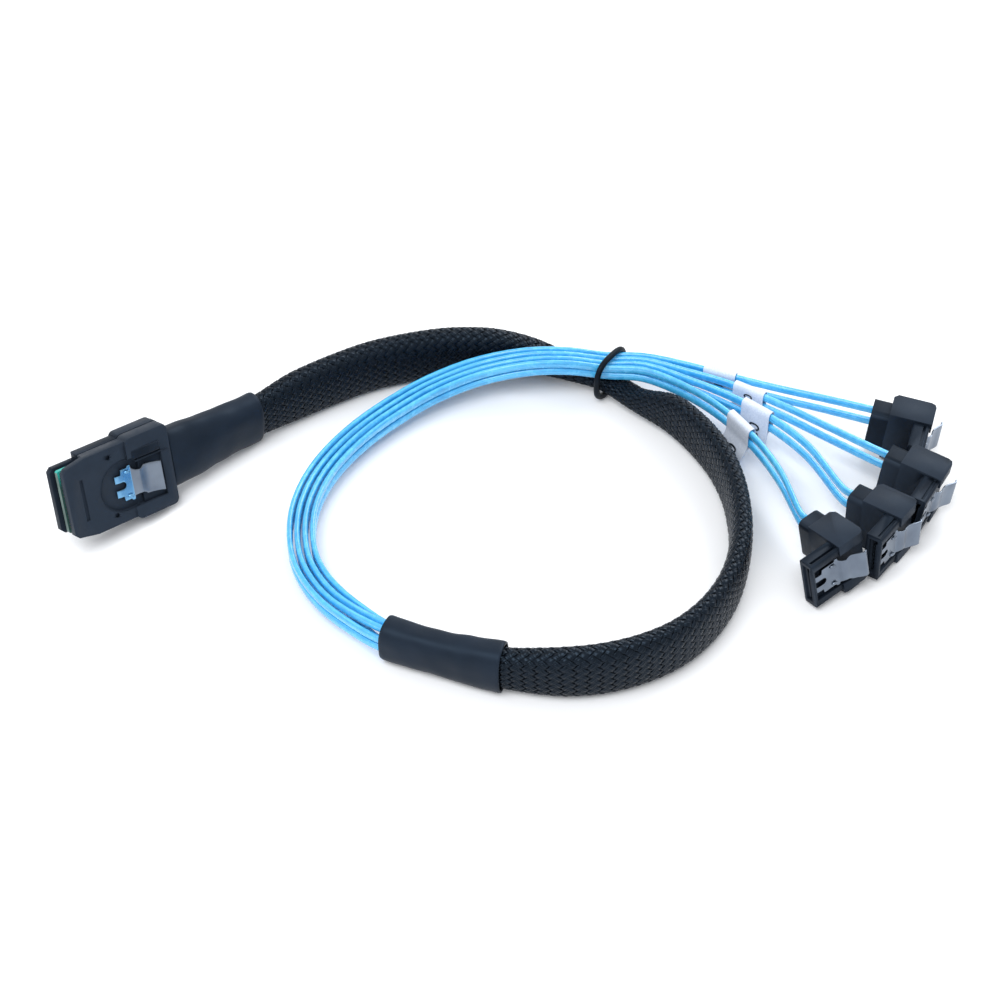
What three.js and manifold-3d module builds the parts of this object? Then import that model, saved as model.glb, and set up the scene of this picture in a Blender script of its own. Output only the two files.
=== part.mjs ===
// Breakout cable: one flat 36-contact host plug, a braided trunk, and eight flat wires
// that fan out to four right-angle drive plugs.
// Millimetres, +Z up, lying on the table z = 0, origin midway between the plugs.
import * as THREE from 'three';
import { mergeVertices } from 'three/addons/utils/BufferGeometryUtils.js';
import Module from 'manifold-3d';

const wasm = await Module();
wasm.setup();

// Clearances between pieces that touch
const TOUCH = 0.3;
const SEAM = 0.3;

// The cable lies where it was laid; this moves the origin midway between its plugs
const HOME = { x: 1.6, y: -7.15 };

// Host plug, local axes: +X out of the mouth, +Y out of the latch face, +Z across the width
const HOST = {
  length: 28,
  mouthWidth: 17.4,
  bodyWidth: 19.4,
  flareLength: 6,
  faceY: 3.1,
  backY: -2.9,
  wall: 1.6,
  tongueWidth: 16.4,
  tongueReach: 1,
  mouthDepth: 6,
  ribLength: 2,
  flangeLength: 11.5,
  flangeWidth: 20.6,
  flangeRise: 0.6,
  cornerRadius: 1.4,
  cavityWidth: 16.6,
  position: [-99.8, -15.3],
  yaw: -138,
  noseUp: 8,
  leanBack: 17,
};
const CARD = { thickness: 1, width: 15.8, front: 0.1, rear: -20, padLength: 4.2, padPitch: 0.8, padWidth: 0.5 };
const POTTING = { stubLength: 6, stubWidth: 10.6, stubThickness: 4.6 };
const HOST_LATCH = {
  centreZ: -0.8,
  tipX: -12.8,
  leafX: -14.4,
  stepX: -17.2,
  endX: -23.8,
  leafWidth: 7.9,
  tabWidth: 7.4,
  earWidth: 8.8,
  leafBelowFace: 0.2,
  tabRise: 2.4,
  sheet: 0.35,
  pocketDepth: 0.95,
  pocketRadius: 6.2,
};

// Drive plug, local axes: +X mating direction, +Y out of the latch face, +Z along the contact row
const DRIVE = {
  bodyLength: 7.6,
  bodyDepth: 10.3,
  bodyHeight: 14.2,
  noseLength: 8,
  noseDepth: 4,
  noseBelowFace: 0.4,
  noseHeight: 12.8,
  bootLength: 4.3,
  bootWidth: 6.4,
  bootHeight: 11,
  cornerRadius: 1.6,
  slotDepth: 7.2,
  slotWidth: 1.95,
  slotSpan: 10.4,
  slotLegSpan: 1.1,
  slotLegDepth: 0.3,
  slotWall: 0.7,
  pocketFloor: -1.35,
  pocketWidth: 8.8,
  grooveDepth: 0.7,
  footDrop: 0.5,
};
const CONTACTS = { count: 7, pitch: 1.27, width: 0.8, rise: 0.2, carrier: 0.7, play: 0.4, setBack: 0.5 };
const DRIVE_LATCH = {
  tipX: 15,
  leafX: 12.9,
  stepX: 8.2,
  endX: 1.8,
  leafWidth: 6.8,
  tabWidth: 7.2,
  earWidth: 7.9,
  leafY: -0.7,
  tabRise: 3,
  sheet: 0.3,
};
// Where each drive plug lies: rear corner of its latch face, and how it is turned
const DRIVE_PLACES = [
  { number: 1, x: 82.9, y: -26.6, yaw: -143, noseDown: 7, lean: 10 },
  { number: 2, x: 95.9, y: -15.1, yaw: -128, noseDown: 0, lean: 3 },
  { number: 3, x: 105.3, y: -1.6, yaw: -121, noseDown: 0, lean: -4 },
  { number: 4, x: 104.3, y: 17.8, yaw: -107.5, noseDown: 0, lean: -3 },
];

// Flat twinax wires: thin across, tall along Z
const STRAND = { width: 1.3, height: 2.1, steps: 30, sides: 8, entry: 2.2 };
// How the eight wires are packed: columns side by side (one a drive plug), two rows
const LANES = {
  tube: { outer: 2.3, inner: 0.75, outerRow: 1.3, innerRow: 3.2 },
  loop: { pitch: 1.8, row: 1.25 },
  tie: { pitch: 1.65, row: 1.12 },
  boot: { row: 1.85 },
};
const BRAID_WALL = 0.8;
const FLATTENED = 0.75;
const TRUNK = { steps: 36, sides: 12, wireWidth: 3.4, wireHeight: 10 };
const SHRINK_WALL = 0.55;
const RING = { across: 5.9, up: 5.55, fullness: 3, cord: 1.5, x: 27.4, y: 38.4, z: 6.35, yaw: -36 };
const FLAG = { length: 8.2, paper: 0.25 };

// Trunk route from the host plug to the breakout: x, y, z, width across, height
const TRUNK_ROUTE = [
  [-65.8, 15.6, 8.3, 5.8, 11.6],
  [-58.9, 21.6, 7.5, 5.9, 11.9],
  [-50.3, 28.6, 7.5, 7, 14.4],
  [-41.3, 34.6, 7.5, 7, 14.8],
  [-32.1, 39.7, 7.5, 7, 14.8],
  [-22.5, 43, 7.5, 7, 14.8],
  [-13, 45.2, 7.4, 7, 14.6],
  [-2.5, 46, 7, 7, 13.8],
  [7.5, 46.2, 5.4, 7.2, 10.2],
  [17.4, 43, 4.1, 7.2, 6],
  [26.6, 38.4, 3.8, 7.2, 3.6],
  [34, 31, 4.2, 6.6, 5.6],
  [42.6, 22.4, 6.6, 5.8, 12.4],
  [47.6, 15.4, 6.9, 5.7, 13.4],
  [51.8, 6.8, 7.2, 5.7, 14],
  [54.4, -2.6, 7.3, 5.7, 14.2],
  [55.3, -11.6, 7.4, 5.7, 14.4],
  [55.1, -20.1, 7.4, 5.7, 14.4],
  [53.6, -28.6, 7.4, 5.8, 14.5],
  [50.6, -37, 7.4, 6, 14.6],
  [45.6, -45, 7.4, 6.2, 14.6],
  [38.8, -51.6, 7.4, 6.4, 14.6],
  [31, -56, 7.4, 6.6, 14.6],
  [22.6, -58.7, 7.4, 6.8, 14.6],
  [14.6, -59.6, 7.3, 6.8, 14.2],
  [7.8, -59, 6.8, 6.6, 13],
  [1.5, -57.9, 6.4, 6.4, 11.4],
  [-3.3, -56.5, 6.3, 6.4, 10.9],
  [-9, -54.6, 6.2, 6, 9.6],
];
// Heat-shrink routes: x, y, z, outer width across, outer height
const HOST_SHRINK_ROUTE = [
  [-65.8, 15.6, 8.3, 7.6, 13.6],
  [-59.4, 21.2, 7.5, 7.7, 13.7],
];
const HOST_SHRINK_START = { width: 7.4, height: 15.2, endHeight: 14.4 };
const BREAKOUT_SHRINK_ROUTE = [
  [0.8, -57.7, 6.4, 8.6, 12.8],
  [-3.3, -56.5, 6.3, 8.3, 12.4],
  [-9, -54.6, 6.1, 7.6, 11.2],
  [-15.3, -52.4, 5.9, 7.5, 10.8],
  [-20.8, -50.2, 5.8, 7.6, 10.8],
  [-25, -48.2, 5.8, 7.9, 10.9],
];
// Middle of the eight wires from the breakout round to the tie: x, y, z, and how far they
// have opened from the tube's packing to the loop's, then closed to the tie's
const BUNDLE_ROUTE = [
  [-9.6, -54.4, 6.1, 0, 0],
  [-15.3, -52.4, 5.9, 0, 0],
  [-20.8, -50.2, 5.8, 0, 0],
  [-26, -47.7, 5.7, 0.05, 0],
  [-32.4, -42.3, 5.4, 0.6, 0],
  [-38, -36.4, 5.1, 1, 0],
  [-42, -30.4, 4.9, 1, 0],
  [-44.6, -24, 4.8, 1, 0],
  [-45.8, -17, 4.8, 1, 0],
  [-45.8, -9.6, 4.9, 1, 0],
  [-44.4, -2.4, 5, 1, 0],
  [-41.9, 4.2, 5.2, 1, 0],
  [-37.9, 11.2, 5.4, 1, 0],
  [-32.2, 18.6, 5.6, 1, 0],
  [-24.6, 26.1, 5.9, 1, 0],
  [-16.4, 32.2, 6.6, 1, 0],
  [-5.4, 37, 8, 1, 0],
  [7, 38.4, 10, 1, 0.3],
  [17, 38.8, 9.9, 1, 0.8],
  [26.6, 39.1, 8.2, 1, 1],
];
// Each pair's own way from the tie to its drive plug: x, y, z
const FAN_ROUTES = {
  1: [[35.4, 34.9, 8.6], [46.4, 27.2, 9], [54.6, 19.2, 8.8], [61.4, 10.7, 8.4], [66.9, -0.7, 7.6]],
  2: [[35.5, 36.8, 8.6], [46.7, 30.8, 8.5], [56.1, 24.6, 8.3], [65.4, 17.2, 8.1], [73.6, 7.8, 7.7]],
  3: [[35.6, 38.5, 8.6], [46, 34.2, 8.4], [56.4, 29.2, 8.2], [67.6, 21.6, 8.2], [78, 13, 8.4]],
  4: [[35.6, 40.2, 8.6], [45.6, 36.8, 8.5], [56, 32.2, 8.3], [68, 27.2, 8.2], [78, 23.3, 8.2]],
};
// Paper flags: how far along each fan-out pair, and how long a tail hangs from it
const FLAG_PLACES = [
  { number: 1, share: 0.7, tail: 5 },
  { number: 2, share: 0.71, tail: 4 },
  { number: 3, share: 0.63, tail: 1.5 },
  { number: 4, share: 0.53, tail: 0 },
];

const degrees = THREE.MathUtils.degToRad;

const finish = {
  housing: new THREE.MeshStandardMaterial({ color: 0x2a303a, roughness: 0.55, metalness: 0 }),
  shrink: new THREE.MeshStandardMaterial({ color: 0x2c333d, roughness: 0.6, metalness: 0 }),
  potting: new THREE.MeshStandardMaterial({ color: 0x15181d, roughness: 0.7, metalness: 0 }),
  board: new THREE.MeshStandardMaterial({ color: 0x1f8f86, roughness: 0.45, metalness: 0 }),
  steel: new THREE.MeshStandardMaterial({ color: 0xaab4c0, roughness: 0.3, metalness: 1 }),
  braid: new THREE.MeshStandardMaterial({ color: 0x14161b, roughness: 0.5, metalness: 0 }),
  wire: new THREE.MeshStandardMaterial({ color: 0x66c8f4, roughness: 0.25, metalness: 0.1 }),
  rubber: new THREE.MeshStandardMaterial({ color: 0x101317, roughness: 0.5, metalness: 0 }),
  paper: new THREE.MeshStandardMaterial({ color: 0xe9edf6, roughness: 0.7, metalness: 0 }),
  contact: new THREE.MeshStandardMaterial({ color: 0x1b1e24, roughness: 0.5, metalness: 0 }),
};

// Solids

function solid(geometry) {
  const bare = geometry.index ? geometry.toNonIndexed() : geometry.clone();
  bare.deleteAttribute('normal');
  bare.deleteAttribute('uv');
  const merged = mergeVertices(bare, 1e-4);
  return new wasm.Manifold(new wasm.Mesh({
    numProp: 3,
    vertProperties: new Float32Array(merged.attributes.position.array),
    triVerts: new Uint32Array(merged.index.array),
  }));
}

function geometryOf(body) {
  const mesh = body.getMesh();
  const geometry = new THREE.BufferGeometry();
  geometry.setAttribute('position', new THREE.BufferAttribute(mesh.vertProperties, 3));
  geometry.setIndex(new THREE.BufferAttribute(mesh.triVerts, 1));
  geometry.computeVertexNormals();
  return geometry;
}

function box(x0, x1, y0, y1, z0, z1) {
  const geometry = new THREE.BoxGeometry(x1 - x0, y1 - y0, z1 - z0);
  geometry.translate((x0 + x1) / 2, (y0 + y1) / 2, (z0 + z1) / 2);
  return solid(geometry);
}

function outline(points) {
  return new THREE.Shape(points.map(([x, y]) => new THREE.Vector2(x, y)));
}

// Rectangle with four round corners
function roundedBox(x0, x1, y0, y1, radius) {
  const shape = new THREE.Shape();
  shape.absarc(x1 - radius, y0 + radius, radius, -Math.PI / 2, 0);
  shape.absarc(x1 - radius, y1 - radius, radius, 0, Math.PI / 2);
  shape.absarc(x0 + radius, y1 - radius, radius, Math.PI / 2, Math.PI);
  shape.absarc(x0 + radius, y0 + radius, radius, Math.PI, 1.5 * Math.PI);
  return shape;
}

function extruded(shape, depth, curveSegments = 3) {
  return new THREE.ExtrudeGeometry(shape, { depth, bevelEnabled: false, curveSegments });
}

// Shape in x, y carried from z0 to z1
function alongZ(shape, z0, z1, segments) {
  return solid(extruded(shape, z1 - z0, segments).translate(0, 0, z0));
}

// Shape in x, z carried from y0 to y1
function alongY(shape, y0, y1, segments) {
  return solid(extruded(shape, y1 - y0, segments).rotateX(Math.PI / 2).translate(0, y1, 0));
}

// Shape in y, z carried from x0 to x1
function alongX(shape, x0, x1, segments) {
  const turn = new THREE.Matrix4().set(0, 0, 1, 0, 1, 0, 0, 0, 0, 1, 0, 0, 0, 0, 0, 1);
  return solid(extruded(shape, x1 - x0, segments).applyMatrix4(turn).translate(x0, 0, 0));
}

// Sheet of even thickness bent along a line of points
function bentStrip(points, sheet) {
  const line = points.map(([x, y]) => new THREE.Vector2(x, y));
  const side = (sign) => line.map((point, i) => {
    const back = line[Math.max(i - 1, 0)];
    const next = line[Math.min(i + 1, line.length - 1)];
    const into = point.clone().sub(back);
    const out = next.clone().sub(point);
    const before = into.lengthSq() > 0 ? into.normalize() : out.clone().normalize();
    const after = out.lengthSq() > 0 ? out.normalize() : before.clone();
    const middle = before.clone().add(after).normalize();
    const reach = sheet / 2 / Math.max(middle.dot(before), 0.5);
    return [point.x - middle.y * reach * sign, point.y + middle.x * reach * sign];
  });
  return outline([...side(1), ...side(-1).reverse()]);
}

// Oval section of unit half sizes; a full one bulges at its corners, as a flattened sleeve does
function oval(sides, fullness) {
  const points = [];
  for (let i = 0; i < sides; i += 1) {
    const angle = (2 * Math.PI * (i + 0.5)) / sides;
    const bulge = (value) => Math.sign(value) * Math.abs(value) ** fullness;
    points.push([bulge(Math.cos(angle)), bulge(Math.sin(angle))]);
  }
  return points;
}

// A straight extrusion of a unit section, laid along a route and sized along it
function layAlong(route, steps, sides, sizeAt, boreAt = null, fullness = 1) {
  const curve = new THREE.CatmullRomCurve3(route.map(([x, y, z]) => new THREE.Vector3(x, y, z)), false, 'centripetal');
  curve.arcLengthDivisions = 400;
  const section = oval(sides, fullness);
  const shape = outline(section);
  const boreScale = 0.5;
  if (boreAt) {
    shape.holes.push(new THREE.Path(section.map(([x, y]) => new THREE.Vector2(x, y).multiplyScalar(boreScale))));
  }
  const boreLimit = Math.max(...section.map(([x, y]) => Math.hypot(x, y))) * boreScale + 0.01;
  const geometry = new THREE.ExtrudeGeometry(shape, { depth: 1, steps, bevelEnabled: false });
  const position = geometry.attributes.position;
  const up = new THREE.Vector3(0, 0, 1);
  for (let i = 0; i < position.count; i += 1) {
    const share = position.getZ(i);
    const inner = boreAt !== null && Math.hypot(position.getX(i), position.getY(i)) < boreLimit;
    const [width, height, roll = 0] = inner ? boreAt(share) : sizeAt(share);
    const scale = inner ? 1 / boreScale : 1;
    const tangent = curve.getTangentAt(share);
    const across = new THREE.Vector3().crossVectors(up, tangent).normalize();
    const top = new THREE.Vector3().crossVectors(tangent, across);
    across.applyAxisAngle(tangent, degrees(roll));
    top.applyAxisAngle(tangent, degrees(roll));
    const place = curve.getPointAt(share)
      .addScaledVector(across, position.getX(i) * scale * width / 2)
      .addScaledVector(top, position.getY(i) * scale * height / 2);
    position.setXYZ(i, place.x, place.y, place.z);
  }
  return solid(geometry);
}

// Width, height and roll between the stations of a route, by the share of its length
function sizesOf(route) {
  const lengths = [0];
  for (let i = 1; i < route.length; i += 1) {
    const [ax, ay, az] = route[i - 1];
    const [bx, by, bz] = route[i];
    lengths.push(lengths[i - 1] + Math.hypot(bx - ax, by - ay, bz - az));
  }
  const total = lengths[lengths.length - 1];
  return (share) => {
    const at = share * total;
    let i = 1;
    while (i < route.length - 1 && lengths[i] < at) {
      i += 1;
    }
    const mix = THREE.MathUtils.clamp((at - lengths[i - 1]) / (lengths[i] - lengths[i - 1]), 0, 1);
    return [3, 4, 5].map((k) => THREE.MathUtils.lerp(route[i - 1][k] ?? 0, route[i][k] ?? 0, mix));
  };
}

const cable = new THREE.Group();

function addPiece(parent, name, body, material) {
  const mesh = new THREE.Mesh(geometryOf(body), material);
  mesh.name = name;
  parent.add(mesh);
  return mesh;
}

// A plug's group: turned, then lowered until it stands on the table
function placed(x, y, yaw, noseUp, lean, build) {
  const group = new THREE.Group();
  group.rotation.set(degrees(lean), degrees(-noseUp), degrees(yaw), 'ZYX');
  build(group);
  group.position.set(x, y, 0);
  group.updateMatrixWorld(true);
  group.position.z = -new THREE.Box3().setFromObject(group, true).min.z;
  cable.add(group);
  group.updateMatrixWorld(true);
  return group;
}

// Host plug

// Outline of a shell: its body, then the mouth's flare or the stepped-in tongue
function hostPlan(mouthWidth, front, stepped) {
  const { length, bodyWidth, flareLength } = HOST;
  const mouth = mouthWidth / 2;
  const body = bodyWidth / 2;
  const corner = 0.9;
  const half = [[-length, body], [-flareLength, body], [front - corner, mouth], [front, mouth - corner]];
  if (stepped) {
    half.splice(2, 0, [-flareLength, mouth]);
  }
  return outline([...half, ...half.map(([x, z]) => [x, -z]).reverse()]);
}

function hostShell(sign) {
  const { length, faceY, backY, flangeLength, flangeWidth, flangeRise, cornerRadius, wall } = HOST;
  const latchSide = sign > 0;
  const outer = latchSide ? faceY : backY;
  const span = (y) => [Math.min(y, sign * SEAM / 2), Math.max(y, sign * SEAM / 2)];
  const plan = latchSide ? hostPlan(HOST.mouthWidth, 0, false) : hostPlan(HOST.tongueWidth, HOST.tongueReach, true);
  let shell = alongY(plan, ...span(outer));
  const flangeEnd = [-length, -length + flangeLength, -flangeWidth / 2, flangeWidth / 2];
  shell = shell.add(alongY(roundedBox(...flangeEnd, cornerRadius), ...span(outer + sign * flangeRise)));
  const reach = Math.abs(outer) - wall;
  const cut = (x0, x1, y, z) => box(x0, x1, Math.min(0, sign * y), Math.max(0, sign * y), -z, z);
  const wide = HOST.bodyWidth;
  shell = shell.subtract(cut(-HOST.mouthDepth, 2, reach, wide));
  shell = shell.subtract(cut(-length - 1, -HOST.mouthDepth - HOST.ribLength, reach, HOST.cavityWidth / 2));
  const slot = CARD.thickness / 2 + TOUCH;
  return shell.subtract(cut(-length, 0, slot, CARD.width / 2 + TOUCH));
}

function hostLatchPocket() {
  const { centreZ, pocketRadius, leafX, endX, pocketDepth } = HOST_LATCH;
  const centreX = leafX - 0.4;
  const shape = new THREE.Shape();
  shape.absarc(centreX, centreZ, pocketRadius, -Math.PI / 2, Math.PI / 2);
  shape.lineTo(endX - 1.6, centreZ + pocketRadius);
  shape.lineTo(endX - 1.6, centreZ - pocketRadius);
  return alongY(shape, HOST.faceY - pocketDepth, HOST.faceY + HOST.flangeRise + 1, 7);
}

function latchSolid(profile, plan, sheet, halfWidth, barbs) {
  let leaf = alongZ(bentStrip(profile, sheet), -halfWidth, halfWidth);
  leaf = leaf.intersect(alongY(outline(plan), -9, 9));
  barbs.forEach(([x, y, z]) => {
    leaf = leaf.add(box(x - 0.45, x + 0.45, y, y + sheet, z - 0.3, z + 0.3));
  });
  return leaf;
}

// Two prongs, leaf with ears, waist, thumb tab: outline from above, x towards the prongs
function latchPlan({ tipX, leafX, stepX, endX, leafWidth, tabWidth, earWidth }) {
  const leaf = leafWidth / 2;
  const tab = tabWidth / 2;
  const ear = earWidth / 2;
  const prong = leaf * 0.68;
  const notch = leaf * 0.2;
  const upper = [
    [tipX, notch], [tipX, prong], [leafX, prong], [leafX, leaf], [stepX + 0.9, leaf], [stepX + 0.7, ear],
    [stepX, ear], [stepX - 0.1, tab - 0.6], [stepX - 2, tab - 0.6], [stepX - 2.2, tab], [endX - 1, tab],
  ];
  const lower = upper.map(([x, z]) => [x, -z]).reverse();
  const root = leafX - 0.2;
  return [...upper, ...lower, [root + 0.3, -notch], [root, 0], [root + 0.3, notch]];
}

function hostLatch() {
  const { centreZ, tipX, stepX, endX, leafBelowFace, tabRise, sheet, leafWidth, earWidth } = HOST_LATCH;
  const leafY = HOST.faceY - leafBelowFace - sheet / 2;
  const profile = [
    [tipX, leafY - 0.25], [tipX - 1.2, leafY], [stepX, leafY], [stepX - 0.8, leafY + 0.9],
    [stepX - 2.4, leafY + 1.1], [endX + 0.9, leafY + tabRise], [endX, leafY + tabRise + 0.25],
  ];
  const barbY = leafY + sheet / 2 - 0.1;
  const barbs = [[stepX + 1.2, barbY, leafWidth / 2 - 0.9], [stepX + 1.2, barbY, 0.9 - leafWidth / 2]];
  return latchSolid(profile, latchPlan(HOST_LATCH), sheet, earWidth, barbs).translate(0, 0, centreZ);
}

function paddleCard() {
  const { thickness, width, front, rear, padLength, padPitch, padWidth } = CARD;
  const half = thickness / 2;
  let card = alongY(roundedBox(rear, front, -width / 2, width / 2, 0.5), -half, half, 2);
  const count = Math.floor((width - 2) / padPitch);
  for (let i = 0; i < count; i += 1) {
    const z = (i - (count - 1) / 2) * padPitch;
    const pad = [front - 0.5 - padLength, front - 0.5, -half - 0.06, half + 0.06, z - padWidth / 2, z + padWidth / 2];
    card = card.add(box(...pad));
  }
  return card;
}

function potting() {
  const { stubLength, stubWidth, stubThickness } = POTTING;
  const inside = Math.min(HOST.faceY, -HOST.backY) - HOST.wall - TOUCH;
  const wide = HOST.cavityWidth / 2 - TOUCH;
  const rear = -HOST.length - TOUCH;
  const block = box(rear, CARD.rear - TOUCH, -inside, inside, -wide, wide);
  const neck = box(rear - 1, rear + 1, -inside, inside, 2 - stubWidth / 2, stubWidth / 2 - 2);
  const stub = roundedBox(-stubThickness / 2, stubThickness / 2, -stubWidth / 2, stubWidth / 2, 1.2);
  return block.add(neck).add(alongX(stub, rear - stubLength, rear));
}

const hostGroup = placed(HOST.position[0], HOST.position[1], HOST.yaw, HOST.noseUp, HOST.leanBack, (group) => {
  const groove = box(-4.5, -3.6, HOST.faceY - 0.45, HOST.faceY + 1, -5.5, 4.9);
  const latchShell = hostShell(1).subtract(hostLatchPocket()).subtract(groove);
  addPiece(group, 'plug_latch_shell', latchShell, finish.housing);
  addPiece(group, 'plug_back_shell', hostShell(-1), finish.housing);
  addPiece(group, 'paddle_card', paddleCard(), finish.board);
  addPiece(group, 'plug_potting', potting(), finish.potting);
  addPiece(group, 'plug_latch', hostLatch(), finish.steel);
});

// Drive plugs

function driveBody() {
  const d = DRIVE;
  const half = d.bodyHeight / 2;
  const nose = d.noseHeight / 2;
  const noseOuter = -d.noseBelowFace;
  const noseInner = noseOuter - d.noseDepth;
  const tip = d.bodyLength + d.noseLength;
  const top = outline([
    [1.4, 0], [d.bodyLength, 0], [d.bodyLength, -d.bodyDepth], [1, -d.bodyDepth],
    [0, -d.bodyDepth + 1], [0, -1.4], [0.4, -0.4],
  ]);
  let body = alongZ(top, -half, half);
  body = body.add(alongX(roundedBox(noseInner, noseOuter, -nose, nose, 0.5), d.bodyLength - 1, tip, 2));
  const bootX = (d.bodyLength - d.bootWidth) / 2;
  const boot = roundedBox(bootX, bootX + d.bootWidth, -d.bootHeight / 2, d.bootHeight / 2, d.cornerRadius);
  body = body.add(alongY(boot, -d.bodyDepth - d.bootLength, -d.bodyDepth + 1));
  const foot = roundedBox(d.bodyLength - 5, d.bodyLength - 0.2, -half - d.footDrop, -half + 2, 1);
  body = body.add(alongY(foot, -3.4, -0.2));
  const slotOuter = noseInner + d.slotWall + d.slotWidth;
  const slotFloor = tip - d.slotDepth;
  const span = d.slotSpan / 2;
  body = body.subtract(box(slotFloor, tip + 1, noseInner + d.slotWall, slotOuter, -span, span));
  const leg = [slotFloor, tip + 1, slotOuter - 0.1, slotOuter + d.slotLegDepth, span - d.slotLegSpan, span];
  body = body.subtract(box(...leg));
  const pocket = d.pocketWidth / 2;
  body = body.subtract(box(-1, tip - 0.6, d.pocketFloor, 1, -pocket, pocket));
  const groove = box(d.bodyLength + 0.01, tip - 0.6, noseOuter - 1.5, noseOuter - 0.8, nose - d.grooveDepth, nose + 1);
  return body.subtract(groove);
}

function contactBlock() {
  const d = DRIVE;
  const wallY = -d.noseBelowFace - d.noseDepth + d.slotWall;
  const start = d.bodyLength + d.noseLength - d.slotDepth + TOUCH;
  const faceY = wallY + TOUCH + CONTACTS.carrier;
  const half = DRIVE.slotSpan / 2 - CONTACTS.play;
  const length = DRIVE.slotDepth - TOUCH - CONTACTS.setBack;
  let block = box(start, start + length, wallY + TOUCH, faceY, -half, half);
  for (let i = 0; i < CONTACTS.count; i += 1) {
    const z = (i - (CONTACTS.count - 1) / 2) * CONTACTS.pitch;
    const reach = start + length - 0.4;
    const edge = CONTACTS.width / 2;
    block = block.add(box(start, reach, faceY - 0.1, faceY + CONTACTS.rise, z - edge, z + edge));
  }
  return block;
}

function driveLatch() {
  const { tipX, stepX, endX, leafY, tabRise, sheet, leafWidth, earWidth } = DRIVE_LATCH;
  const profile = [
    [tipX, leafY - 0.15], [tipX - 1.2, leafY], [stepX, leafY], [stepX - 0.9, leafY + 0.9],
    [stepX - 2.6, leafY + 1.1], [endX + 0.8, leafY + tabRise], [endX, leafY + tabRise - 0.3],
  ];
  const barbY = leafY + sheet / 2 - 0.1;
  const barbs = [[stepX + 1.6, barbY, leafWidth / 2 - 0.8], [stepX + 1.6, barbY, 0.8 - leafWidth / 2]];
  return latchSolid(profile, latchPlan(DRIVE_LATCH), sheet, earWidth, barbs);
}

const driveGroups = {};
DRIVE_PLACES.forEach(({ number, x, y, yaw, noseDown, lean }) => {
  driveGroups[number] = placed(x, y, yaw, -noseDown, lean, (group) => {
    addPiece(group, `sata_body_${number}`, driveBody(), finish.housing);
    addPiece(group, `sata_contact_block_${number}`, contactBlock(), finish.contact);
    addPiece(group, `sata_latch_${number}`, driveLatch(), finish.steel);
  });
});

// Trunk: wires inside, braid over them, heat-shrink over both ends

const hostRear = -HOST.length - TOUCH;
const behindHost = (distance, width, height) => {
  const point = new THREE.Vector3(hostRear - distance, 0, 0).applyMatrix4(hostGroup.matrixWorld);
  return [point.x, point.y, point.z, width, height, -HOST.leanBack];
};
const { stubLength } = POTTING;
const trunkRoute = [behindHost(stubLength + TOUCH, 5.6, 11.4), ...TRUNK_ROUTE];
const { width: shrinkWidth, height: shrinkHeight, endHeight } = HOST_SHRINK_START;
const hostShrinkRoute = [
  behindHost(0, shrinkWidth, shrinkHeight),
  behindHost(stubLength, shrinkWidth, endHeight),
  ...HOST_SHRINK_ROUTE,
];
const trunkSize = sizesOf(trunkRoute);
const shrunk = (sizeAt, by) => (share) => {
  const [width, height, roll] = sizeAt(share);
  return [width - by, height - by, roll];
};
const wireSize = (share) => {
  const [width, height, roll] = trunkSize(share);
  const play = 2 * (BRAID_WALL + TOUCH);
  return [Math.min(width - play, TRUNK.wireWidth), Math.min(height - play, TRUNK.wireHeight), roll];
};
const braidBore = shrunk(trunkSize, 2 * BRAID_WALL);
const braid = layAlong(trunkRoute, TRUNK.steps, TRUNK.sides, trunkSize, braidBore, FLATTENED);
addPiece(cable, 'braided_sleeve', braid, finish.braid);
addPiece(cable, 'trunk_wires', layAlong(trunkRoute, TRUNK.steps, 8, wireSize), finish.wire);

function heatShrink(route) {
  const size = sizesOf(route);
  return layAlong(route, 10, 16, size, shrunk(size, 2 * SHRINK_WALL), FLATTENED);
}
addPiece(cable, 'plug_heatshrink', heatShrink(hostShrinkRoute), finish.shrink);
addPiece(cable, 'breakout_heatshrink', heatShrink(BREAKOUT_SHRINK_ROUTE), finish.shrink);

// Wires from the breakout to the drive plugs

function laneOffset(number, row, opened, closed) {
  const column = number - 2.5;
  const middle = Math.abs(column) < 1;
  const tubeAcross = Math.sign(column) * (middle ? LANES.tube.inner : LANES.tube.outer);
  const tubeUp = middle ? LANES.tube.innerRow : LANES.tube.outerRow;
  const loose = THREE.MathUtils.lerp(LANES.loop.pitch, LANES.tie.pitch, closed);
  const looseRow = THREE.MathUtils.lerp(LANES.loop.row, LANES.tie.row, closed);
  return {
    across: THREE.MathUtils.lerp(tubeAcross, column * loose, opened),
    up: row * THREE.MathUtils.lerp(tubeUp, looseRow, opened),
  };
}

function strandRoute(number, row) {
  const middle = BUNDLE_ROUTE.map(([x, y]) => new THREE.Vector2(x, y));
  const points = BUNDLE_ROUTE.map(([x, y, z, opened, closed], i) => {
    const back = middle[Math.max(i - 1, 0)];
    const next = middle[Math.min(i + 1, middle.length - 1)];
    const along = next.clone().sub(back).normalize();
    const { across, up } = laneOffset(number, row, opened, closed);
    return [x - along.y * across, y + along.x * across, z + up];
  });
  FAN_ROUTES[number].forEach(([x, y, z], i) => {
    const share = (i + 1) / (FAN_ROUTES[number].length + 1);
    points.push([x, y, z + row * THREE.MathUtils.lerp(LANES.tie.row, LANES.boot.row, share)]);
  });
  const boot = new THREE.Vector3(DRIVE.bodyLength / 2, -DRIVE.bodyDepth - DRIVE.bootLength, row * LANES.boot.row);
  [STRAND.entry, TOUCH].forEach((away) => {
    const end = boot.clone().add(new THREE.Vector3(0, -away, 0)).applyMatrix4(driveGroups[number].matrixWorld);
    points.push([end.x, end.y, end.z]);
  });
  return points;
}

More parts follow.
